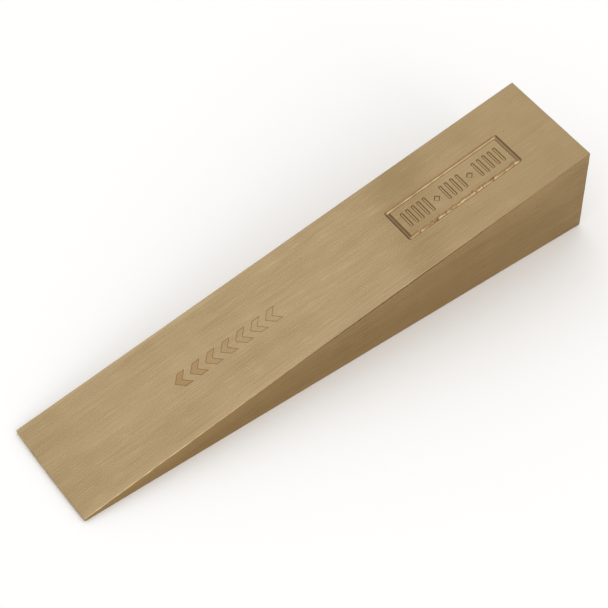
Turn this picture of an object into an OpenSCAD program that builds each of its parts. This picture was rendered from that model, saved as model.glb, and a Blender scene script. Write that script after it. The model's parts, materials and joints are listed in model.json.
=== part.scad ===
// Solid non-sparking taper wedge, cut from square bronze bar.
// It lies on its lower sloping face, with the struck end at -X and the thin tip at +X.
// The origin is the middle of the rectangle under the wedge, on the surface it lies on.

/* [Body] */
// Length along the centre line, from the struck end to the tip
length = 202; // [180:1:300]
// Side of the square bar that the wedge is cut from
bar_side = 40; // [30:0.5:60]
// Metal ground off each long face of the bar
grind_off = 0.25; // [0:0.05:0.5]
// Thickness of the blunt tip
tip_t = 1.5; // [1:0.1:5]
// Width of the small bevel that breaks every edge
edge_break = 0.3; // [0.1:0.05:0.4]

/* [Engraved panel] */
// Distance from the struck end to the panel, along the upper face
panel_start = 18.3; // [10:0.1:25]
// Outer length of the panel's border
panel_l = 47.7; // [46:0.1:60]
// Outer width of the panel's border
panel_w = 14; // [12:0.1:20]
// Width of the border groove on the two short sides
end_groove_w = 1.7; // [1:0.1:2]
// Width of the border groove on the two long sides
side_groove_w = 1.5; // [1:0.1:2]
// Depth of the border groove
groove_d = 0.5; // [0.2:0.05:1]
// Radius of the border's outer corners
panel_r = 0.9; // [0.3:0.1:1.5]

/* [Tally marks] */
// Length of a tally bar, across the wedge
bar_l = 6.6; // [3:0.1:7]
// Width of a tally bar
bar_w = 1.2; // [0.6:0.1:1.4]
// Distance between neighbouring bars
bar_pitch = 2.3; // [2:0.05:2.35]
// Size of the lozenge between two groups of bars
lozenge = 2.8; // [1:0.1:3]
// Depth of the tally bars and lozenges
mark_d = 0.35; // [0.1:0.05:0.8]

/* [Drive arrows] */
// Distance from the struck end to the first arrow, along the upper face
arrows_start = 114; // [90:0.5:115]
// Number of arrows
arrow_count = 7; // [1:1:8]
// Distance between neighbouring arrows
arrow_pitch = 5.9; // [4:0.1:6]
// Length of an arrow across the wedge
arrow_w = 5.5; // [4:0.1:8]
// Thickness of an arrow along the wedge
arrow_t = 3; // [2.4:0.1:3.5]
// How far an arrow's point runs ahead of its tails
arrow_reach = 2.6; // [1:0.1:3.5]
// Width of the etched outline
etch_w = 0.3; // [0.2:0.05:0.4]
// Depth of the etched outline
etch_d = 0.1; // [0.05:0.01:0.2]

/* [Hidden] */
$fn = 48;
side = bar_side - 2 * grind_off;
half_taper = atan((side - tip_t) / 2 / length);
face_l = sqrt(pow(length, 2) + pow((side - tip_t) / 2, 2));
over = 5;
tally_groups = [[0, 1, 2, 3, 4], [7, 8, 9, 10], [13, 14, 15, 16, 17]];
lozenge_places = [5.5, 11.5];
tally_middle = 8.5;
bronze = [0.67, 0.58, 0.43];

// Profile of the wedge seen from the side, centre line along X, corners going round anticlockwise
profile = [
    [0, -side / 2],
    [length, -tip_t / 2],
    [length, tip_t / 2],
    [0, side / 2]
];
// The same profile seen from above
plan = [
    [0, -side / 2],
    [length, -side / 2],
    [length, side / 2],
    [0, side / 2]
];

// A point moved by a distance from p towards q
function towards(p, q, distance) = p + distance * (q - p) / norm(q - p);

// An outline with each of its corners replaced by a bevel
function bevelled(outline) = [
    for (i = [0 : len(outline) - 1])
        let (before = outline[(i + len(outline) - 1) % len(outline)])
        let (after = outline[(i + 1) % len(outline)])
        for (end = [before, after])
            towards(outline[i], end, edge_break)
];

// Position along X of a profile point once the lower face lies flat
function laid_x(p) = p[0] * cos(half_taper) + p[1] * sin(half_taper);
laid_xs = [for (p = bevelled(profile)) laid_x(p)];
middle_x = (min(laid_xs) + max(laid_xs)) / 2;
rise = side / 2 * cos(half_taper);

// Turns the wedge from its centre line to lying on its lower face, with the origin under its middle
module lay_flat() {
    translate([-middle_x, 0, rise])
        rotate([0, half_taper, 0])
            children();
}

// Local frame of the upper face: X along it from the struck end, Z out of the metal
module on_upper_face() {
    translate([0, 0, side / 2])
        rotate([0, half_taper, 0])
            children();
}

// Long prism that takes the sharp edge off both sides of the upper face
module long_edge_bevel() {
    on_upper_face()
        translate([-over, 0, 0])
            rotate([90, 0, 90])
                linear_extrude(face_l + 2 * over)
                    polygon([
                        [-side / 2, -2 * side],
                        [side / 2, -2 * side],
                        [side / 2, -edge_break],
                        [side / 2 - edge_break, 0],
                        [-side / 2 + edge_break, 0],
                        [-side / 2, -edge_break]
                    ]);
}

// The plain ground wedge, centre line along X
module blank() {
    intersection() {
        rotate([90, 0, 0])
            linear_extrude(side + 2 * over, center = true)
                polygon(bevelled(profile));
        linear_extrude(side + 2 * over, center = true)
            polygon(bevelled(plan));
        long_edge_bevel();
        mirror([0, 0, 1])
            long_edge_bevel();
    }
}

// Rectangle with round corners, centred
module round_rect(l, w, r) {
    square([l - 2 * r, w], center = true);
    square([l, w - 2 * r], center = true);
    for (x = [-1, 1])
        for (y = [-1, 1])
            translate([x * (l / 2 - r), y * (w / 2 - r)])
                circle(r);
}

// Border groove of the panel, centred
module panel_border() {
    difference() {
        round_rect(panel_l, panel_w, panel_r);
        square([panel_l - 2 * end_groove_w, panel_w - 2 * side_groove_w], center = true);
    }
}

// Tally bar with round ends, running across the wedge
module tally_bar() {
    square([bar_w, bar_l - bar_w], center = true);
    for (y = [-1, 1])
        translate([0, y * (bar_l - bar_w) / 2])
            circle(bar_w / 2);
}

// Groups of tally bars with a lozenge between neighbouring groups, centred
module tally_row() {
    for (group = tally_groups)
        for (place = group)
            translate([(place - tally_middle) * bar_pitch, 0])
                tally_bar();
    for (place = lozenge_places)
        translate([(place - tally_middle) * bar_pitch, 0])
            rotate(45)
                square(lozenge / sqrt(2), center = true);
}

// Filled arrow head pointing along X, shrunk on every side by inset
module arrow_head(inset) {
    slope = atan2(arrow_w / 2, arrow_reach);
    half_w = arrow_w / 2 - inset;
    back = inset / sin(slope);
    tail = (arrow_w / 2 - half_w) / tan(slope);
    polygon([
        [tail + back, half_w],
        [tail + arrow_t - back, half_w],
        [arrow_reach + arrow_t - back, 0],
        [tail + arrow_t - back, -half_w],
        [tail + back, -half_w],
        [arrow_reach + back, 0]
    ]);
}

// Row of arrow outlines pointing to the tip
module arrow_row() {
    for (i = [0 : arrow_count - 1])
        translate([i * arrow_pitch, 0])
            difference() {
                arrow_head(0);
                arrow_head(etch_w);
            }
}

// Cuts a flat outline into the upper face to a depth
module engrave(depth) {
    on_upper_face()
        translate([0, 0, -depth])
            linear_extrude(depth + over)
                children();
}

// The whole wedge
module wedge_body() {
    color(bronze)
        lay_flat()
            difference() {
                blank();
                engrave(groove_d)
                    translate([panel_start + panel_l / 2, 0])
                        panel_border();
                engrave(mark_d)
                    translate([panel_start + panel_l / 2, 0])
                        tally_row();
                engrave(etch_d)
                    translate([arrows_start, 0])
                        arrow_row();
            }
}

wedge_body();
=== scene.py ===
"""Looks of a solid bronze taper wedge: ground lengthwise, with an engraved panel and etched arrows."""

import json
import math
import random

import bmesh
import bpy
import numpy as np
from mathutils import Matrix, Vector, noise
from mathutils.geometry import delaunay_2d_cdt
from mathutils.kdtree import KDTree


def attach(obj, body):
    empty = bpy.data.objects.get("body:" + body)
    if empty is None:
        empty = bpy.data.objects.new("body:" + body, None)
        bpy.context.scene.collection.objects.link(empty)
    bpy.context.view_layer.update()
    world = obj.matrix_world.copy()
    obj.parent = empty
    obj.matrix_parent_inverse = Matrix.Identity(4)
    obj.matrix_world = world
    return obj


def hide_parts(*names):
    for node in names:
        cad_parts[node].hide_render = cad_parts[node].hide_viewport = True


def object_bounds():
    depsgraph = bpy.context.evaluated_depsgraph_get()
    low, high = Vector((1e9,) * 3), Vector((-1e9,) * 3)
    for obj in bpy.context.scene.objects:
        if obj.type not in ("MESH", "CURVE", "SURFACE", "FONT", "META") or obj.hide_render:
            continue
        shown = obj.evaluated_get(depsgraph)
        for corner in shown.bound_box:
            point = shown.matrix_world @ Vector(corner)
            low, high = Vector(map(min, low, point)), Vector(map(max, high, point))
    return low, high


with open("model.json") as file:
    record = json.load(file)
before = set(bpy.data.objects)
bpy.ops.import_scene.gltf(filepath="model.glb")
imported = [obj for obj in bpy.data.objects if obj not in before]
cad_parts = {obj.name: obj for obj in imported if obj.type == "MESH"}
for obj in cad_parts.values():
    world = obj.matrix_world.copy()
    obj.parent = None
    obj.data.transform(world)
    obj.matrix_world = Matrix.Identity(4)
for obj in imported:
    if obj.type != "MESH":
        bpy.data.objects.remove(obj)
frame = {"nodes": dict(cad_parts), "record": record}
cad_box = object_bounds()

# ---------------------------------------------------------------------------
# Sizes. Shapes are laid out in millimetres and turned into metres at the end.
# ---------------------------------------------------------------------------
MM = 0.001

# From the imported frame: the struck end, the direction of the centre line and the taper
mounts = {m["name"]: m for m in frame["record"]["mounts"]}
STRUCK_MIDDLE = Vector(mounts["struck_face"]["pos_m"])
ALONG = -Vector(mounts["struck_face"]["axis"]).normalized()
ACROSS = Vector((0, 1, 0))
OUT = ALONG.cross(ACROSS)
reach = [(v.co - STRUCK_MIDDLE).dot(ALONG) for v in frame["nodes"]["wedge_body"].data.vertices]
LENGTH = (max(reach) - min(reach)) / MM
SIDE = (cad_box[1].y - cad_box[0].y) / MM
TAPER = math.atan2(-ALONG.z, ALONG.x)
TAN, COS, SIN = math.tan(TAPER), math.cos(TAPER), math.sin(TAPER)

# Edges: the radius that every edge is rounded to, the steps across it and the spacing along it
FILLET = 0.35
FILLET_STEPS = 6
EDGE_STEP = 1.0

# Points nearer to each other than this become one
WELD = 1e-4

# Spacing of the points inside a flat face, and how near they may come to anything else
FLAT_STEP = 2.0
FLAT_GAP = 0.45

# Engraved panel on the upper face, measured along that face from the struck end
PANEL_START = 18.3
PANEL_L = 47.7
PANEL_W = 14.0
PANEL_OUTER_R = 0.9
PANEL_INNER_R = 0.12
PANEL_MIDDLE = PANEL_START + PANEL_L / 2

# Its border groove: the width at the ends and at the sides, and (distance from either rim, depth)
END_GROOVE = 1.7
SIDE_GROOVE = 1.5
GROOVE_PROFILE = [(0, 0), (0.04, 0.015), (0.12, 0.08), (0.25, 0.27), (0.4, 0.42), (0.56, 0.49)]
GROOVE_STEP = 0.25
MITRE_SHARPNESS = 1.2

# How each side of the border looks across its width: (share of the width from outside, brightness, tone,
# darkness)
# Brightness is fresh metal with a painted highlight; tone and darkness are painted shade on the groove's
# walls
FAR_LOOK = [
    (0.04, 0, 0.7, 0),
    (0.2, 0, 0.8, 0),
    (0.38, 0.58, 0.1, 0),
    (0.6, 0.58, 0.1, 0),
    (0.75, 0, 0.9, 0.12),
    (0.96, 0, 0.9, 0.15),
]
NEAR_LOOK = [
    (0.04, 0, 0.9, 0.25),
    (0.18, 0, 0.9, 0.15),
    (0.28, 1, 0.1, 0),
    (0.46, 1, 0.1, 0),
    (0.64, 0.1, 0.8, 0),
    (0.96, 0, 0.7, 0),
]
# The end grooves are painted shade over most of their width, with a thin painted highlight at one rim
BUTT_LOOK = [
    (0.03, 0, 0.2, 0.5),
    (0.15, 0, 0, 0.75),
    (0.36, 0, 0, 0.6),
    (0.6, 0, 0, 0.25),
    (0.92, 0, 0, 0.2),
    (0.97, 0.2, 0.6, 0),
]
TIP_LOOK = [
    (0.03, 0.2, 0.8, 0),
    (0.12, 0, 0, 0.75),
    (0.3, 0, 0, 0.7),
    (0.8, 0, 0, 0.6),
    (0.93, 0, 0.3, 0.4),
    (0.97, 0, 0.5, 0.2),
]

# Chips on the border's ragged side: ranges of each value, and how many of the chips are dull. A chip's
# brightness is a painted highlight on fresh metal; the gap before it gets painted shade.
CHIP_LENGTH = (0.8, 3.4)
CHIP_DEPTH = (0.55, 1.1)
CHIP_GAP_DARKNESS = (-1.2, 1)
DULL_CHIP = (0.1, 0.5)
BRIGHT_CHIP = (1, 1.6)
DULL_CHIP_SHARE = 0.35
CHIP_SLANT = 1.2
CHIP_GAP = 0.7
CHIP_AT_START = (PANEL_START, 4, 1, 0.5, 0)

# Tally bars and lozenges inside the panel. Their places count in pitches.
BAR_L = 6.6
BAR_W = 1.2
BAR_PITCH = 2.3
BAR_GROUPS = [(0, 5), (7, 4), (13, 5)]
LOZENGE = 2.8
LOZENGE_PLACES = [5.5, 11.5]
TALLY_MIDDLE = 8.5

# The shape of one mark: (distance from its outline, depth), and (distance, brightness, tone, darkness):
# painted shade on its walls and a painted highlight on its floor
MARK_PROFILE = [(0, 0), (0.03, 0.015), (0.1, 0.1), (0.22, 0.27), (0.32, 0.33), (0.44, 0.35)]
MARK_LOOK = [
    (0, 0, 0, 0),
    (0.03, 0, 0.6, 0.3),
    (0.1, 0, 0.5, 0.6),
    (0.22, 0, 0.5, 0.5),
    (0.32, 0.1, 0.5, 0.25),
    (0.44, 0.25, 0.4, 0.1),
]

# Etched drive arrows. The profile is (distance from the arrow's outline, depth).
ARROWS_START = 114.0
ARROW_COUNT = 7
ARROW_PITCH = 5.9
ARROW_W = 5.5
ARROW_T = 3.0
ARROW_REACH = 2.6
ARROW_LINE_DIRT = 0.55
ETCH_PROFILE = [(0, 0), (0.07, 0.08), (0.2, 0.08), (0.28, 0)]

# Pits: places on the two faces that the photo shows, and how many the lower, right and struck faces get
UPPER_PITS = [(6, 2.7), (5.6, 11), (38.5, -12.2), (15.5, -6), (97, -11), (196, 9.2)]
LEFT_PITS = [(22.5, 9), (23.4, 8.2), (31.5, 11.5), (31.2, 7), (44, -6), (76, 3)]
OTHER_PITS = 9
SHOWN_PIT_R = (0.13, 0.19)
SHOWN_PIT_DEPTH = 0.06
OTHER_PIT_R = (0.13, 0.25)
OTHER_PIT_DEPTH = 0.07

# One pit: its corners, the range of its radius factor, and its rings as (share of radius, share of depth)
PIT_SIDES = 8
PIT_WOBBLE = (0.8, 1.15)
PIT_RINGS = ((1, 0), (0.8, 0.25), (0.45, 0.8))
# How dark the pit's inner rings and its middle are
PIT_RING_DARKNESS = 0.8
PIT_MIDDLE_DARKNESS = 0.9

# What belt grinding did: a bow in the ridge at +Y and tip corners that are set back
BOW = 0.42
BOW_REACH = 9
TIP_SETBACK = 0.28
TIP_REACH = 14


# ---------------------------------------------------------------------------
# Outlines, as lists of 2-D points
# ---------------------------------------------------------------------------
def even_line(a, b, step):
    """Points from a up to but not including b, about step apart."""
    count = max(1, round(math.dist(a, b) / step))
    return [(a[0] + (b[0] - a[0]) * i / count, a[1] + (b[1] - a[1]) * i / count) for i in range(count)]


def closed_line(corners, step):
    """The closed outline through these corners."""
    points = []
    for a, b in zip(corners, corners[1:] + corners[:1]):
        points += even_line(a, b, step)
    return points


def arc(centre, radius, start, end, count):
    """Points on an arc, both ends included. Angles are in degrees."""
    angles = [math.radians(start + (end - start) * i / count) for i in range(count + 1)]
    return [(centre[0] + radius * math.cos(t), centre[1] + radius * math.sin(t)) for t in angles]


def rounded_rectangle(centre, l, w, r, step):
    """A rectangle with round corners."""
    corners, corner_steps = [], 5
    for sx, sy, start in ((1, -1, -90), (1, 1, 0), (-1, 1, 90), (-1, -1, 180)):
        middle = (centre[0] + sx * (l / 2 - r), centre[1] + sy * (w / 2 - r))
        corners += arc(middle, r, start, start + 90, corner_steps)
    return closed_line(corners, step)


def stadium(centre, w, l, step):
    """A slot with round ends, its length along the second axis."""
    r, end_steps = w / 2, 8
    ends = arc((centre[0], centre[1] + l / 2 - r), r, 0, 180, end_steps)
    ends += arc((centre[0], centre[1] - l / 2 + r), r, 180, 360, end_steps)
    return closed_line(ends, step)


def diamond(centre, half, step):
    """A square standing on its corner."""
    x, y = centre
    return closed_line([(x + half, y), (x, y + half), (x - half, y), (x, y - half)], step)


def arrow_head(start, inset, step):
    """A chevron pointing along the first axis, shrunk on every side by inset."""
    slope = math.atan2(ARROW_W / 2, ARROW_REACH)
    half, back = ARROW_W / 2 - inset, inset / math.sin(slope)
    tail = inset / math.tan(slope)
    corners = [
        (tail + back, -half),
        (tail + ARROW_T - back, -half),
        (ARROW_REACH + ARROW_T - back, 0),
        (tail + ARROW_T - back, half),
        (tail + back, half),
        (ARROW_REACH + back, 0),
    ]
    return closed_line([(start + x, y) for x, y in corners], step)


# ---------------------------------------------------------------------------
# The six flat faces. Positions are (along, across, out) from the struck end's middle.
# ---------------------------------------------------------------------------
class Face:
    """One flat face: its outward normal, and a 2-D layout with a first and a second axis.

    shift moves the face's part of the grain, so that no two faces show the same pattern.
    keep_clear holds rectangles (from, to, from, to) that get no extra points.
    """

    def __init__(self, origin, first, second, normal, shift):
        self.origin, self.first, self.second = Vector(origin), Vector(first), Vector(second)
        self.normal, self.shift = Vector(normal), shift
        self.points, self.depths, self.marks, self.edges = [], [], [], []
        self.keep_clear = []

    def at(self, p, q, depth=0.0):
        """The 3-D point at this place of the layout, sunk by the depth."""
        return self.origin + self.first * p + self.second * q - self.normal * depth

    def layout(self, point):
        """The place of a 3-D point in the layout."""
        return ((point - self.origin).dot(self.first), (point - self.origin).dot(self.second))

    def add_loop(self, outline, depths, mark):
        """A closed outline that the mesh follows. mark is (brightness, tone, darkness)."""
        start, count = len(self.points), len(outline)
        self.points += outline
        self.depths += depths if isinstance(depths, list) else [depths] * count
        self.marks += mark if isinstance(mark, list) else [mark] * count
        self.edges += [(start + i, start + (i + 1) % count) for i in range(count)]

    def add_point(self, point, depth=0.0, mark=(0, 0, 0)):
        """A point that belongs to no outline."""
        self.points.append(point)
        self.depths.append(depth)
        self.marks.append(mark)


def make_faces():
    """The faces, keyed by (axis, side): axis 0 along, 1 across, 2 out."""
    half = SIDE / 2
    upper = Face((0, 0, half), (COS, 0, -SIN), (0, 1, 0), (SIN, 0, COS), (0, 0))
    lower = Face((0, 0, -half), (COS, 0, SIN), (0, -1, 0), (SIN, 0, -COS), (317, 83))
    left = Face((0, half, 0), (1, 0, 0), (0, 0, 1), (0, 1, 0), (653, 41))
    right = Face((0, -half, 0), (1, 0, 0), (0, 0, -1), (0, -1, 0), (971, 127))
    struck = Face((0, 0, 0), (0, 1, 0), (0, 0, 1), (-1, 0, 0), (1289, 19))
    tip = Face((LENGTH, 0, 0), (0, 1, 0), (0, 0, -1), (1, 0, 0), (1447, 61))
    return {(2, 1): upper, (2, 0): lower, (1, 1): left, (1, 0): right, (0, 0): struck, (0, 1): tip}


FACES = make_faces()


def inner_corner(along, across, out):
    """A corner of the wedge shrunk by the fillet radius. Each argument is 0 or 1."""
    s = FILLET if along == 0 else LENGTH - FILLET
    y = (SIDE / 2 - FILLET) * (1 if across else -1)
    n = (SIDE / 2 - s * TAN - FILLET / COS) * (1 if out else -1)
    return Vector((s, y, n))


# ---------------------------------------------------------------------------
# What is sunk into each face
# ---------------------------------------------------------------------------
def smooth_step(x):
    """0 up to 0, 1 from 1 on, and smooth between them."""
    x = np.clip(x, 0, 1)
    return x * x * (3 - 2 * x)


def rise(x, start, end):
    """0 at start, 1 at end, smooth between them and level outside them. end may lie below start."""
    return smooth_step((x - start) / (end - start))


def bump_at(x, middle, width):
    """1 at the middle, falling smoothly to 0 over the width on both sides."""
    return rise(np.abs(x - middle), width, 0)


def wander(x, seed, size=1.0):
    """Smooth repeatable noise in one dimension, rarely past size. Each seed has its own course."""
    seed_spacing, off_lattice = 7.31, 0.37
    return size * 2 * noise.noise(Vector((x, seed * seed_spacing, off_lattice)))


def look_across(look, share):
    """The (brightness, tone, darkness) mark at this share of a groove's width."""
    shares, *marks = zip(*look)
    return np.array([np.interp(share, shares, values) for values in marks])


def chips(start, end, rng):
    """Splits the ragged side into (start, length, depth factor, brightness, darkness of the gap)."""
    found = []
    while start < end:
        length = rng.uniform(*CHIP_LENGTH)
        bright = rng.uniform(*(DULL_CHIP if rng.random() < DULL_CHIP_SHARE else BRIGHT_CHIP))
        depth = rng.uniform(*CHIP_DEPTH)
        dark = max(0, rng.uniform(*CHIP_GAP_DARKNESS))
        found.append((start, length, depth, bright, dark))
        start += length
    return found


def ragged_point(x, y, share, depth, near, pieces):
    """Moves and marks a point of the ragged side. near falls from 1 to 0 where the ends take over."""
    slanted = x + CHIP_SLANT * share
    before = [piece for piece in pieces if piece[0] <= slanted]
    start, length, sunk, bright, dark = before[-1] if before else CHIP_AT_START
    along = min(1, (slanted - start) / length)
    gap = dark * rise(slanted, start + CHIP_GAP, start)
    mark = look_across(NEAR_LOOK, share)
    # The chip's painted highlight on fresh metal, dimmed in the gap
    brightness = bright * (0.7 + 0.6 * along)
    mark[0] *= brightness * (1 - gap)
    # Painted shade in the gap between chips
    mark[2] += (1 - mark[2]) * gap * math.sin(math.pi * share)
    long_waves, short_waves = wander(x * 0.8, 1, 0.07), wander(x * 2.7, 2, 0.04)
    outward = 0.12 + (long_waves + short_waves) * (0.5 + share)
    inner_bulge = share * 0.3 * max(0, wander(x * 0.55, 6, 1.4))
    y += near * (outward - inner_bulge)
    depth_factor = sunk - 0.35 * along + 0.3 * gap
    depth *= 1 + near * (depth_factor - 1)
    return y, depth, mark * near


def border_point(x, y, share, depth, pieces):
    """Moves and marks a point of the border. share runs from the outer rim to the inner one."""
    to_end = (PANEL_L / 2 - abs(x - PANEL_MIDDLE)) / END_GROOVE
    to_side = (PANEL_W / 2 - abs(y)) / SIDE_GROOVE
    on_end = smooth_step(0.5 + (to_side - to_end) * MITRE_SHARPNESS)
    on_side = 1 - on_end
    mark = look_across(TIP_LOOK if x > PANEL_MIDDLE else BUTT_LOOK, share) * on_end
    if y < 0:
        unevenness = wander(x * 0.5, 5, 0.5)
        mark += look_across(FAR_LOOK, share) * on_side
        mark[0] *= 1 + unevenness * on_side
        return y, depth, mark
    y, depth, side_mark = ragged_point(x, y, share, depth, on_side, pieces)
    return y, depth, mark + side_mark


def add_panel_border(face, rng):
    """The engraved border groove. Its side at +Y is ragged, where the cutter chattered."""
    pieces = chips(PANEL_START + SIDE_GROOVE, PANEL_START + PANEL_L - SIDE_GROOVE, rng)
    centre = (PANEL_MIDDLE, 0)
    for d, depth in GROOVE_PROFILE:
        outer_l, outer_w = PANEL_L - 2 * d, PANEL_W - 2 * d
        outer = rounded_rectangle(centre, outer_l, outer_w, PANEL_OUTER_R - d, GROOVE_STEP)
        inner_l, inner_w = PANEL_L - 2 * END_GROOVE + 2 * d, PANEL_W - 2 * SIDE_GROOVE + 2 * d
        inner = rounded_rectangle(centre, inner_l, inner_w, PANEL_INNER_R + d, GROOVE_STEP)
        for outline, share in ((outer, d / SIDE_GROOVE), (inner, 1 - d / SIDE_GROOVE)):
            placed = [border_point(x, y, share, depth, pieces) for x, y in outline]
            moved = [(x, y) for (x, _), (y, _, _) in zip(outline, placed)]
            marks = [tuple(mark) if d else (0, 0, 0) for _, _, mark in placed]
            face.add_loop(moved, [sunk for _, sunk, _ in placed], marks)


def add_tally(face):
    """Upright bars in groups, with a lozenge between neighbouring groups."""
    places = [first + i for first, count in BAR_GROUPS for i in range(count)]
    bar_step, lozenge_step = 0.3, 0.25
    for d, depth in MARK_PROFILE:
        mark = tuple(look_across(MARK_LOOK, d))
        for place in places:
            centre = (PANEL_MIDDLE + (place - TALLY_MIDDLE) * BAR_PITCH, 0)
            face.add_loop(stadium(centre, BAR_W - 2 * d, BAR_L - 2 * d, bar_step), depth, mark)
        for place in LOZENGE_PLACES:
            centre = (PANEL_MIDDLE + (place - TALLY_MIDDLE) * BAR_PITCH, 0)
            face.add_loop(diamond(centre, LOZENGE / 2 - d * math.sqrt(2), lozenge_step), depth, mark)


def add_arrows(face):
    """Etched outlines, each filled with a tone that gets browner towards the tip."""
    first_tone, tone_rise, outline_step = 0.15, 0.6, 0.4
    for i in range(ARROW_COUNT):
        start = ARROWS_START + i * ARROW_PITCH
        tone = first_tone + tone_rise * (i / (ARROW_COUNT - 1)) ** 2
        for k, (inset, depth) in enumerate(ETCH_PROFILE):
            dirt_and_shade = ARROW_LINE_DIRT if 0 < k < len(ETCH_PROFILE) - 1 else 0
            mark = (0, 0 if k == 0 else tone, dirt_and_shade)
            face.add_loop(arrow_head(start, inset, outline_step), depth, mark)
    end = ARROWS_START + ARROW_COUNT * ARROW_PITCH
    face.keep_clear.append((ARROWS_START, end, -ARROW_W / 2, ARROW_W / 2))


def add_pit(face, at, radius, depth, stretch, rng):
    """A small irregular pit, its radius stretched along the face's two axes."""
    wobbles = [rng.uniform(*PIT_WOBBLE) for _ in range(PIT_SIDES)]
    for share, sunk in PIT_RINGS:
        outline = []
        for i, wobble in enumerate(wobbles):
            turn, r = 2 * math.pi * i / PIT_SIDES, radius * share * wobble
            x, y = stretch[0] * r * math.cos(turn), stretch[1] * r * math.sin(turn)
            outline.append((at[0] + x, at[1] + y))
        face.add_loop(outline, depth * sunk, (0, 0, 0 if share == 1 else PIT_RING_DARKNESS))
    face.add_point(at, depth, (0, 0, PIT_MIDDLE_DARKNESS))


def add_pits(rng):
    """Pits at chosen places on the upper and left faces, and at random ones on the faces out of sight."""
    for key, places, stretch in (((2, 1), UPPER_PITS, (1.2, 1)), ((1, 1), LEFT_PITS, (0.9, 2.2))):
        for place in places:
            add_pit(FACES[key], place, rng.uniform(*SHOWN_PIT_R), SHOWN_PIT_DEPTH, stretch, rng)
    for key in ((2, 0), (1, 0), (0, 0)):
        first_range, second_range = ((-17, 17), (-17, 17)) if key == (0, 0) else ((8, 130), (-5, 5))
        for _ in range(OTHER_PITS):
            place = (rng.uniform(*first_range), rng.uniform(*second_range))
            add_pit(FACES[key], place, rng.uniform(*OTHER_PIT_R), OTHER_PIT_DEPTH, (1.3, 1), rng)


# ---------------------------------------------------------------------------
# Mesh
# ---------------------------------------------------------------------------
class Shell:
    """Collects the whole skin before it becomes one mesh. owners says which face each polygon is on."""

    def __init__(self):
        self.points, self.marks, self.polygons, self.owners = [], [], [], []

    def add(self, points, marks, polygons, owner):
        """Adds a patch. marks are (brightness, tone, darkness, edge wear); owner is one face or a list of
        them.
        """
        start = len(self.points)
        self.points += points
        self.marks += marks
        self.polygons += [[start + i for i in p] for p in polygons]
        self.owners += owner if isinstance(owner, list) else [owner] * len(polygons)


def stations(key_a, key_b):
    """Even points along an edge of the shrunk wedge."""
    a, b = inner_corner(*key_a), inner_corner(*key_b)
    count = max(2, round((b - a).length / EDGE_STEP))
    return [a.lerp(b, i / count) for i in range(count + 1)]


def add_edge(shell, axis, sides):
    """The round strip along one edge. sides gives the two other axes' sides."""
    others = [a for a in range(3) if a != axis]
    keys = []
    for end in (0, 1):
        key = [0, 0, 0]
        key[axis] = end
        for a, s in zip(others, sides):
            key[a] = s
        keys.append(tuple(key))
    line = stations(*keys)
    from_face, to_face = (others[0], sides[0]), (others[1], sides[1])
    from_normal, to_normal = FACES[from_face].normal, FACES[to_face].normal
    turn = [from_normal.slerp(to_normal, j / FILLET_STEPS) for j in range(FILLET_STEPS + 1)]
    points = [p + FILLET * t for p in line for t in turn]
    marks = [(0, 0, 0, math.sin(math.pi * j / FILLET_STEPS)) for _ in line for j in range(FILLET_STEPS + 1)]
    polygons, owners = [], []
    row = FILLET_STEPS + 1
    for i in range(len(line) - 1):
        for j in range(FILLET_STEPS):
            a = i * row + j
            polygons.append([a, a + 1, a + row + 1, a + row])
            owners.append(from_face if j < FILLET_STEPS / 2 else to_face)
    shell.add(points, marks, polygons, owners)


def add_corner(shell, key):
    """The round patch at one corner, between three fillets."""
    keys = [(axis, key[axis]) for axis in range(3)]
    normals = [FACES[k].normal for k in keys]
    n = FILLET_STEPS
    places, points = {}, []
    for i in range(n + 1):
        for j in range(n + 1 - i):
            k = n - i - j
            weights = (i, j, k)
            used = [w for w in range(3) if weights[w]]
            if len(used) == 1:
                direction = normals[used[0]].copy()
            elif len(used) == 2:
                direction = normals[used[0]].slerp(normals[used[1]], weights[used[1]] / n)
            else:
                direction = (normals[0] * i + normals[1] * j + normals[2] * k).normalized()
            places[i, j] = len(points)
            points.append(inner_corner(*key) + FILLET * direction)
    polygons, owners = [], []
    for i in range(n):
        for j in range(n - i):
            polygons.append([places[i, j], places[i + 1, j], places[i, j + 1]])
            if i + j + 2 <= n:
                polygons.append([places[i + 1, j], places[i + 1, j + 1], places[i, j + 1]])
    for p in polygons:
        middle = sum((points[q] for q in p), Vector()) / 3 - inner_corner(*key)
        owners.append(keys[max(range(3), key=lambda a: middle.dot(normals[a]))])
    shell.add(points, [(0, 0, 0, 1)] * len(points), polygons, owners)


def face_outline(key):
    """The face's flat part: the even points on its four edges, in order."""
    axis, side = key
    a, b = [x for x in range(3) if x != axis]
    ring = [(0, 0), (1, 0), (1, 1), (0, 1)]
    corners = []
    for pa, pb in ring:
        corner = [0, 0, 0]
        corner[axis], corner[a], corner[b] = side, pa, pb
        corners.append(tuple(corner))
    outline = []
    for p, q in zip(corners, corners[1:] + corners[:1]):
        line = stations(min(p, q), max(p, q))
        outline += (line if p < q else line[::-1])[:-1]
    return [FACES[key].layout(p + FILLET * FACES[key].normal) for p in outline]


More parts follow.
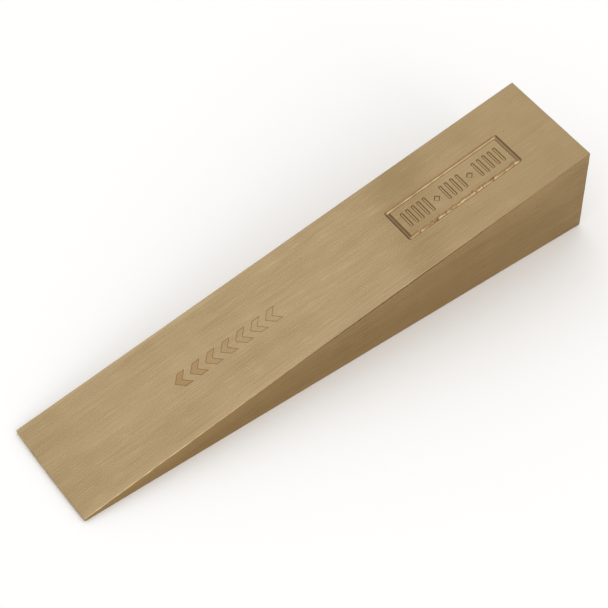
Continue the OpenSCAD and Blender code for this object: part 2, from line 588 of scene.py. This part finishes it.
def add_flat(shell, key):
    """Triangulates a flat face round everything that is sunk into it."""
    face = FACES[key]
    border = face_outline(key)
    face.add_loop(border, 0.0, (0, 0, 0))
    low, high = np.min(border, axis=0), np.max(border, axis=0)
    tree = KDTree(len(face.points))
    for i, (x, y) in enumerate(face.points):
        tree.insert((x, y, 0), i)
    tree.balance()
    counts = [max(2, round((high[i] - low[i]) / FLAT_STEP)) for i in (0, 1)]
    for i in range(1, counts[0]):
        x = low[0] + (high[0] - low[0]) * i / counts[0]
        for j in range(1, counts[1]):
            y = low[1] + (high[1] - low[1]) * j / counts[1]
            past_slope = key[0] == 1 and abs(y) > SIDE / 2 - x * TAN - 2 * FILLET
            kept_clear = any(a < x < b and c < y < d for a, b, c, d in face.keep_clear)
            if past_slope or kept_clear:
                continue
            if tree.find((x, y, 0))[2] > FLAT_GAP:
                face.add_point((x, y))
    inside_only, tolerance, with_sources = 0, 1e-6, True
    plane = [Vector(p) for p in face.points]
    found = delaunay_2d_cdt(plane, face.edges, [], inside_only, tolerance, with_sources)
    flat, _, triangles, sources = found[:4]
    points, marks = [], []
    for p, source in zip(flat, sources):
        i = source[0] if source else tree.find((p[0], p[1], 0))[1]
        points.append(face.at(p[0], p[1], face.depths[i]))
        marks.append((*face.marks[i], 0))
    shell.add(points, marks, [list(t) for t in triangles], key)


def half_height(s):
    """Half the wedge's height this far from the struck end, held above zero past the tip."""
    least = 0.5
    return np.maximum(SIDE / 2 - s * TAN, least)


def hand_ground(co):
    """Moves the points of the ideal wedge to where a belt grinder leaves them."""
    s, y, n = co.T
    half = SIDE / 2
    top_share = np.clip(n / half_height(s), -1, 1)
    bow = BOW * np.sin(math.pi * np.clip(s / LENGTH, 0, 1)) ** 1.2
    y = y - bow * rise(y, half - BOW_REACH, half) * rise(top_share, -1, 1)
    s = s - TIP_SETBACK * rise(s, LENGTH - TIP_REACH, LENGTH) * (y / half) ** 2
    return np.stack([s, y, n], 1)


def worn_edges(co, normals, wear_and_highlight):
    """Pushes the middle of each fillet in, by an uneven amount."""
    even_depth, soft_depth, nick_depth, nick_threshold = 0.05, 0.05, 0.35, 0.42
    nick_offset = Vector((31, 7, 3))
    depth = np.zeros(len(co))
    for i in np.nonzero(wear_and_highlight > 0.05)[0]:
        p = Vector(co[i])
        soft = noise.noise(p * 0.11) + 0.5 * noise.noise(p * 0.45)
        nick = max(0, noise.noise(p * 0.9 + nick_offset) - nick_threshold)
        depth[i] = wear_and_highlight[i] * (even_depth + soft_depth * soft + nick_depth * nick)
    return co - normals * depth[:, None]


def surface_tones(co, off_side):
    """How bright, how scratched and how far into the side faces' painted shade each point is. Brightness
    mixes random tone and scuffs with painted highlights, painted shade and painted reflection bands.
    off_side is 0 on the side faces, else 1.
    """
    s, y, n = co.T
    half = SIDE / 2
    on_side = rise(off_side, 0.5, 0)

    # The sloping faces, where s is the distance from the struck end
    # Darker cross-wise bands near the struck end, at about 59 mm and at the tip: painted reflection bands
    near_butt_reflection_band = rise(s, 85, 55)
    slanted_reflection_band = bump_at(s, 59 + 0.4 * y, 15)
    tip_reflection_band = rise(s, 182, 194)
    # A lighter band down the middle and lighter strips along both ridges towards the tip: painted
    # highlights
    middle_highlight = bump_at(y, -1, 9) * rise(s, 70, 90) * rise(s, 192, 172)
    ridge_highlights = rise(np.abs(y), half - 2.2, half - 0.2) * rise(s, 90, 140)
    wide_tone = -0.25 * near_butt_reflection_band - 0.62 * slanted_reflection_band - 0.15 * tip_reflection_band
    wide_tone += 0.25 * middle_highlight + 0.6 * ridge_highlights

    # The side faces, where share runs from -1 at the lower rim to 1 at the upper one
    share = n / half_height(s)
    # Lighter at the lower rim: painted light against the floor's shade
    upper_rim, lower_rim_painted_light = rise(share, 0.45, 0.95), rise(share, -0.3, -0.9)
    # Darker near the struck end: painted shade against a brighter reflection there
    towards_tip, butt_painted_shade = rise(s, 150, 190), rise(s, 24, 0)
    below_ridge = half - s * TAN - n
    scuff = bump_at(below_ridge, 2.2, 2.6) * rise(s, 70, 40)
    side_tone = 0.4 * upper_rim + 0.55 * lower_rim_painted_light + 0.4 * towards_tip - 0.6 * butt_painted_shade + 0.5 * scuff

    tone = wide_tone * (1 - on_side) + side_tone * on_side
    for i in range(len(tone)):
        p = Vector(co[i])
        tone[i] += 0.22 * noise.noise(p * 0.06) + 0.14 * noise.noise(p * 0.17)
    wide_scratched = 0.45 + 0.55 * rise(s, 15, 75)
    scratched = wide_scratched * (1 - on_side) + (1.3 + 3.0 * scuff) * on_side
    return tone, scratched, on_side


def build_wedge():
    """The ideal wedge as one closed mesh, in millimetres along, across and out."""
    rng = random.Random(12)
    upper = FACES[2, 1]
    add_panel_border(upper, rng)
    add_tally(upper)
    add_arrows(upper)
    add_pits(rng)
    shell = Shell()
    for key in FACES:
        add_flat(shell, key)
    for axis in range(3):
        for sides in ((0, 0), (0, 1), (1, 0), (1, 1)):
            add_edge(shell, axis, sides)
    for key in np.ndindex(2, 2, 2):
        add_corner(shell, tuple(int(k) for k in key))

    mesh = bpy.data.meshes.new("wedge")
    bm = bmesh.new()
    layers = [bm.verts.layers.float.new(name) for name in ("cut", "tone", "dirt_and_shade", "wear_and_highlight")]
    owner = bm.faces.layers.int.new("owner")
    face_keys = list(FACES)
    verts = []
    for p, mark in zip(shell.points, shell.marks):
        v = bm.verts.new(p)
        for layer, value in zip(layers, mark):
            v[layer] = value
        verts.append(v)
    for polygon, key in zip(shell.polygons, shell.owners):
        f = bm.faces.new([verts[i] for i in polygon])
        f[owner] = face_keys.index(key)
        f.smooth = True
    bmesh.ops.remove_doubles(bm, verts=bm.verts, dist=WELD)
    bmesh.ops.recalc_face_normals(bm, faces=bm.faces)
    bm.to_mesh(mesh)
    bm.free()
    return mesh, face_keys


def read(items, name, width=1, kind=float):
    """One property of every item of a mesh, as an array with width columns."""
    values = np.empty(len(items) * width, kind)
    items.foreach_get(name, values)
    return values.reshape(-1, width) if width > 1 else values


def lay_grain(mesh, face_keys, co, corner_vertex, corner_owner):
    """Gives each polygon corner its face's two layout axes as UV coordinates, in millimetres."""
    uv = np.zeros((len(mesh.loops), 2))
    for i, key in enumerate(face_keys):
        face, used = FACES[key], corner_owner == i
        local = co[corner_vertex[used]] - np.array(face.origin)
        uv[used, 0] = local @ np.array(face.first) + face.shift[0]
        uv[used, 1] = local @ np.array(face.second) + face.shift[1]
    layer = mesh.uv_layers.new(name="grain")
    layer.data.foreach_set("uv", uv.ravel())


def set_normals(mesh, corner_vertex, corner_counts):
    """Normals weighted by area, so that a flat face stays flat up to its rounded edges."""
    weighted_facing = read(mesh.polygons, "normal", 3) * read(mesh.polygons, "area")[:, None]
    normals = np.zeros((len(mesh.vertices), 3))
    np.add.at(normals, corner_vertex, np.repeat(weighted_facing, corner_counts, axis=0))
    normals /= np.maximum(np.linalg.norm(normals, axis=1, keepdims=True), 1e-20)
    mesh.normals_split_custom_set_from_vertices(normals)


def finish_mesh(mesh, face_keys):
    """The grain's coordinates, tones, wear, metres, material slots and normals."""
    co = read(mesh.vertices, "co", 3)
    normals = read(mesh.vertices, "normal", 3)
    wear_and_highlight = read(mesh.attributes["wear_and_highlight"].data, "value", kind=np.float32)
    owners = read(mesh.attributes["owner"].data, "value", kind=np.int32)
    corner_vertex = read(mesh.loops, "vertex_index", kind=np.int32)
    corner_counts = read(mesh.polygons, "loop_total", kind=np.int32)
    lay_grain(mesh, face_keys, co, corner_vertex, np.repeat(owners, corner_counts))

    owner_off_side = np.array([face_keys[o][0] != 1 for o in owners], float)
    off_side = np.bincount(corner_vertex, np.repeat(owner_off_side, corner_counts))
    off_side = off_side / np.bincount(corner_vertex)
    for name, values in zip(("tone_and_painted_light", "scratched", "side_shade"), surface_tones(co, off_side)):
        layer = mesh.attributes.new(name, "FLOAT", "POINT")
        layer.data.foreach_set("value", values.astype(np.float32))

    co = hand_ground(worn_edges(co, normals, wear_and_highlight))
    # The edges' colour is weak near the struck end and full towards the tip: real wear, plus a painted
    # highlight along the edges from the middle on
    butt_wear_and_highlight, tip_wear_and_highlight = 0.15, 1.0
    wear_and_highlight = wear_and_highlight * (butt_wear_and_highlight + (tip_wear_and_highlight - butt_wear_and_highlight) * rise(co[:, 0], 85, 145))
    mesh.attributes["wear_and_highlight"].data.foreach_set("value", wear_and_highlight.astype(np.float32))
    co = np.array(STRUCK_MIDDLE) + MM * co @ np.array([ALONG, ACROSS, OUT])
    mesh.vertices.foreach_set("co", co.ravel())
    mesh.update()
    slots = np.array([1 if face_keys[o][0] == 0 else 0 for o in owners], np.int32)
    mesh.polygons.foreach_set("material_index", slots)
    set_normals(mesh, corner_vertex, corner_counts)
    mesh.attributes.remove(mesh.attributes["owner"])


# ---------------------------------------------------------------------------
# Materials
# ---------------------------------------------------------------------------
class Tree:
    """Short calls for building a node tree."""

    def __init__(self, name):
        self.material = bpy.data.materials.new(name)
        self.material.use_nodes = True
        self.nodes, self.links = self.material.node_tree.nodes, self.material.node_tree.links
        self.nodes.clear()

    def add(self, kind, inputs=None, output=0, **settings):
        """Makes a node and returns one of its outputs. A socket among the inputs is linked."""
        n = self.nodes.new("ShaderNode" + kind)
        for name, value in settings.items():
            setattr(n, name, value)
        for name, value in (inputs or {}).items():
            if isinstance(value, bpy.types.NodeSocket):
                self.links.new(value, n.inputs[name])
            else:
                n.inputs[name].default_value = value
        return n.outputs[output] if n.outputs else None

    def maths(self, operation, a, b=0.0, clamp=False):
        """One calculation on two sockets or numbers."""
        return self.add("Math", {0: a, 1: b}, operation=operation, use_clamp=clamp)

    def remap(self, value, low, high, to_low=0.0, to_high=1.0):
        """Maps low..high onto to_low..to_high, and holds the ends."""
        return self.add("MapRange", {0: value, 1: low, 2: high, 3: to_low, 4: to_high})

    def grain(self, cycles, detail=2.0, rough=0.5):
        """2-D noise over the grain's coordinates, in cycles per millimetre along and across."""
        coords = self.add("UVMap", uv_map="grain")
        placed = self.add("Mapping", {"Vector": coords, "Scale": (cycles[0], cycles[1], 1)})
        inputs = {"Vector": placed, "Scale": 1.0, "Detail": detail, "Roughness": rough}
        return self.add("TexNoise", inputs, noise_dimensions="2D")

    def centred(self, value, size):
        """A value from 0 to 1, moved to lie round 0 and scaled to this size."""
        return self.maths("MULTIPLY", self.maths("SUBTRACT", value, 0.5), size)

    def mix(self, share, a, b, blend="MIX"):
        """Two colours, mixed or multiplied."""
        return self.add("Mix", {0: share, 6: a, 7: b}, 2, data_type="RGBA", blend_type=blend)

    def attribute(self, name):
        """One of the mesh's own values."""
        return self.add("Attribute", output=2, attribute_name=name)


def colour(r, g, b):
    """An opaque colour, in linear values."""
    return (r, g, b, 1)


PALE = colour(0.445, 0.338, 0.192)
DULL = colour(0.300, 0.214, 0.108)
# Painted shade of the side faces: their colour is multiplied by this darker, browner tint
SIDE_SHADE_TINT = colour(0.83, 0.72, 0.53)
# Fresh metal, and the painted highlights on groove walls, chips, mark floors and edges
FRESH_CUT_AND_HIGHLIGHT = colour(0.69, 0.52, 0.31)
# Etched fill of the arrows, and painted shade in the engraved grooves and marks
ETCHED_AND_RECESS_SHADE = colour(0.335, 0.200, 0.086)
# Dark specks, pits and etched lines, and painted shade in the grooves, marks and chip gaps
DIRT_AND_SHADE = colour(0.140, 0.083, 0.046)

# Cycles per millimetre of each pattern, along the grain and across it
LONG_FACE_GRAIN = (0.042, 4.4)
END_FACE_GRAIN = (0.12, 2.6)
SPECKLE_GRAIN = (2.6, 3.2)
SCRATCH_GRAIN = (0.11, 5.0)
CLOUD_GRAIN = (0.03, 0.09)
SPECK_GRAIN = (1.3, 1.9)
EDGE_GRAIN = (0.3, 0.3)

# How much each pattern adds to the tone, which runs from DULL at 0 to PALE at 1
MIDDLE_TONE = 0.5
SPECKLE_TONE = 1.15
FINE_TONE = 0.85
WIDE_TONE = 0.24
SCRATCH_TONE = 0.5
CLOUD_TONE = 0.35
TONE_AND_PAINTED_LIGHT = 0.5

# How far the edges (real wear with a painted highlight) and the specks go to their own colours, and how
# shiny the metal is
EDGE_WEAR_AND_HIGHLIGHT = 0.65
SPECK_DIRT = 0.5
ROUGH_DULL = 0.47
ROUGH_BRIGHT = 0.40
FRESH_CUT_GLOSS = 0.1


def bronze_material(name, fine_grain):
    """Ground bronze: fine lengthwise scratches over soft bands and blotches."""
    t = Tree(name)
    speckle = t.grain(SPECKLE_GRAIN, 1.0)
    fine = t.grain(fine_grain)
    wide = t.grain((fine_grain[0] * 0.45, fine_grain[1] * 0.06))
    clouds = t.grain(CLOUD_GRAIN)
    scratches = t.grain(SCRATCH_GRAIN, 0.0)
    specks = t.grain(SPECK_GRAIN, 2.0, 0.6)

    lines = t.maths("ADD", t.centred(fine, FINE_TONE), t.centred(wide, WIDE_TONE))
    lines = t.maths("ADD", lines, t.remap(scratches, 0.72, 0.82, 0.0, SCRATCH_TONE))
    streak = t.maths("ADD", t.centred(speckle, SPECKLE_TONE), lines)
    streak = t.maths("MULTIPLY", streak, t.attribute("scratched"))
    tone = t.maths("ADD", streak, t.centred(clouds, CLOUD_TONE))
    # Painted highlights, painted shade and painted reflection bands, over random tone and scuffs
    tone = t.maths("ADD", tone, t.maths("MULTIPLY", t.attribute("tone_and_painted_light"), TONE_AND_PAINTED_LIGHT))
    tone = t.maths("ADD", tone, MIDDLE_TONE, clamp=True)
    base = t.mix(tone, DULL, PALE)
    # Painted shade: the side faces take a darker, browner tint
    base = t.mix(t.attribute("side_shade"), base, SIDE_SHADE_TINT, "MULTIPLY")
    # Edges: real wear and a painted highlight, mixed towards fresh metal
    edge = t.maths("MULTIPLY", t.attribute("wear_and_highlight"), t.remap(t.grain(EDGE_GRAIN), 0.35, 0.65))
    base = t.mix(t.maths("MULTIPLY", edge, EDGE_WEAR_AND_HIGHLIGHT), base, FRESH_CUT_AND_HIGHLIGHT)
    # Fresh metal with painted highlights in the grooves, chips and marks
    base = t.mix(t.attribute("cut"), base, FRESH_CUT_AND_HIGHLIGHT)
    # Etched arrow fill, and painted shade in the grooves and marks
    base = t.mix(t.attribute("tone"), base, ETCHED_AND_RECESS_SHADE)
    # Painted shade in the grooves, marks and chip gaps, and dark pits and etched lines
    base = t.mix(t.attribute("dirt_and_shade"), base, DIRT_AND_SHADE)
    base = t.mix(t.maths("MULTIPLY", t.remap(specks, 0.74, 0.82), SPECK_DIRT), base, DIRT_AND_SHADE)

    rough = t.remap(lines, -0.3, 0.3, ROUGH_DULL, ROUGH_BRIGHT)
    rough = t.maths("SUBTRACT", rough, t.maths("MULTIPLY", t.attribute("cut"), FRESH_CUT_GLOSS))
    bump = t.add("Bump", {"Strength": 0.3, "Distance": 0.02 * MM, "Height": lines})
    tangent = t.add("Tangent", direction_type="UV_MAP", uv_map="grain")
    inputs = {
        "Base Color": base,
        "Metallic": 1.0,
        "Roughness": rough,
        "Anisotropic": 0.5,
        "Anisotropic Rotation": 0.25,
        "Tangent": tangent,
        "Normal": bump,
    }
    surface = t.add("BsdfPrincipled", inputs)
    t.add("OutputMaterial", {"Surface": surface})
    return t.material


# ---------------------------------------------------------------------------
# The wedge
# ---------------------------------------------------------------------------
mesh, face_keys = build_wedge()
finish_mesh(mesh, face_keys)
mesh.materials.append(bronze_material("ground_bronze", LONG_FACE_GRAIN))
mesh.materials.append(bronze_material("end_ground_bronze", END_FACE_GRAIN))
wedge = bpy.data.objects.new("wedge", mesh)
bpy.context.scene.collection.objects.link(wedge)
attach(wedge, "root")
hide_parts("wedge_body")


# ---------------------------------------------------------------------------
# Floor, lights and camera
# ---------------------------------------------------------------------------
def make_floor():
    """A plain pale surface under the wedge."""
    floor_mesh = bpy.data.meshes.new("floor")
    half = 4.0
    corners = [(-half, -half, 0), (half, -half, 0), (half, half, 0), (-half, half, 0)]
    floor_mesh.from_pydata(corners, [], [(0, 1, 2, 3)])
    t = Tree("floor_white")
    surface = t.add("BsdfPrincipled", {"Base Color": colour(0.95, 0.95, 0.95), "Roughness": 0.9})
    t.add("OutputMaterial", {"Surface": surface})
    floor_mesh.materials.append(t.material)
    floor = bpy.data.objects.new("floor", floor_mesh)
    bpy.context.scene.collection.objects.link(floor)


def make_softbox(name, direction, distance, size, radiance):
    """A square area light that faces the origin. radiance is in the units of a white surface at 1."""
    data = bpy.data.lights.new(name, "AREA")
    data.shape, data.size = "SQUARE", size
    data.energy = radiance * math.pi * size * size
    light = bpy.data.objects.new(name, data)
    back = Vector(direction).normalized()
    light.location = back * distance
    light.rotation_euler = back.to_track_quat("Z", "Y").to_euler()
    bpy.context.scene.collection.objects.link(light)


def make_world(radiance, tint):
    """An even, nearly white surround."""
    world = bpy.data.worlds.new("studio")
    world.use_nodes = True
    background = world.node_tree.nodes["Background"]
    background.inputs["Color"].default_value = (*tint, 1)
    background.inputs["Strength"].default_value = radiance
    bpy.context.scene.world = world


def make_camera():
    """Looks down on the upper face from beyond the tip, turned a little about the line of sight."""
    azimuth, elevation, roll = (math.radians(x) for x in (50.370, 53.052, -3.484))
    aim, distance = Vector((2.17, -2.18, 10)) * MM, 572.97 * MM
    focal_length, sensor_width = 104.22, 36
    level_part = math.cos(elevation)
    back = Vector((level_part * math.cos(azimuth), level_part * math.sin(azimuth), math.sin(elevation)))
    level = (-back).cross(Vector((0, 0, 1))).normalized()
    upright = level.cross(-back)
    right = level * math.cos(roll) - upright * math.sin(roll)
    up = upright * math.cos(roll) + level * math.sin(roll)
    data = bpy.data.cameras.new("camera")
    data.lens, data.sensor_width = focal_length, sensor_width
    camera = bpy.data.objects.new("camera", data)
    rotation = Matrix((right, up, back)).transposed()
    camera.matrix_world = Matrix.Translation(aim + back * distance) @ rotation.to_4x4()
    bpy.context.scene.collection.objects.link(camera)
    bpy.context.scene.camera = camera


make_floor()
make_softbox("overhead", direction=(-0.06, -0.46, 0.88), distance=1.2, size=1.1, radiance=0.45)
make_softbox("front", direction=(0.02, 0.86, 0.47), distance=1.5, size=0.7, radiance=1.8)
make_world(radiance=0.93, tint=(1.0, 0.99, 0.975))
make_camera()
bpy.context.scene.view_settings.view_transform = "Standard"
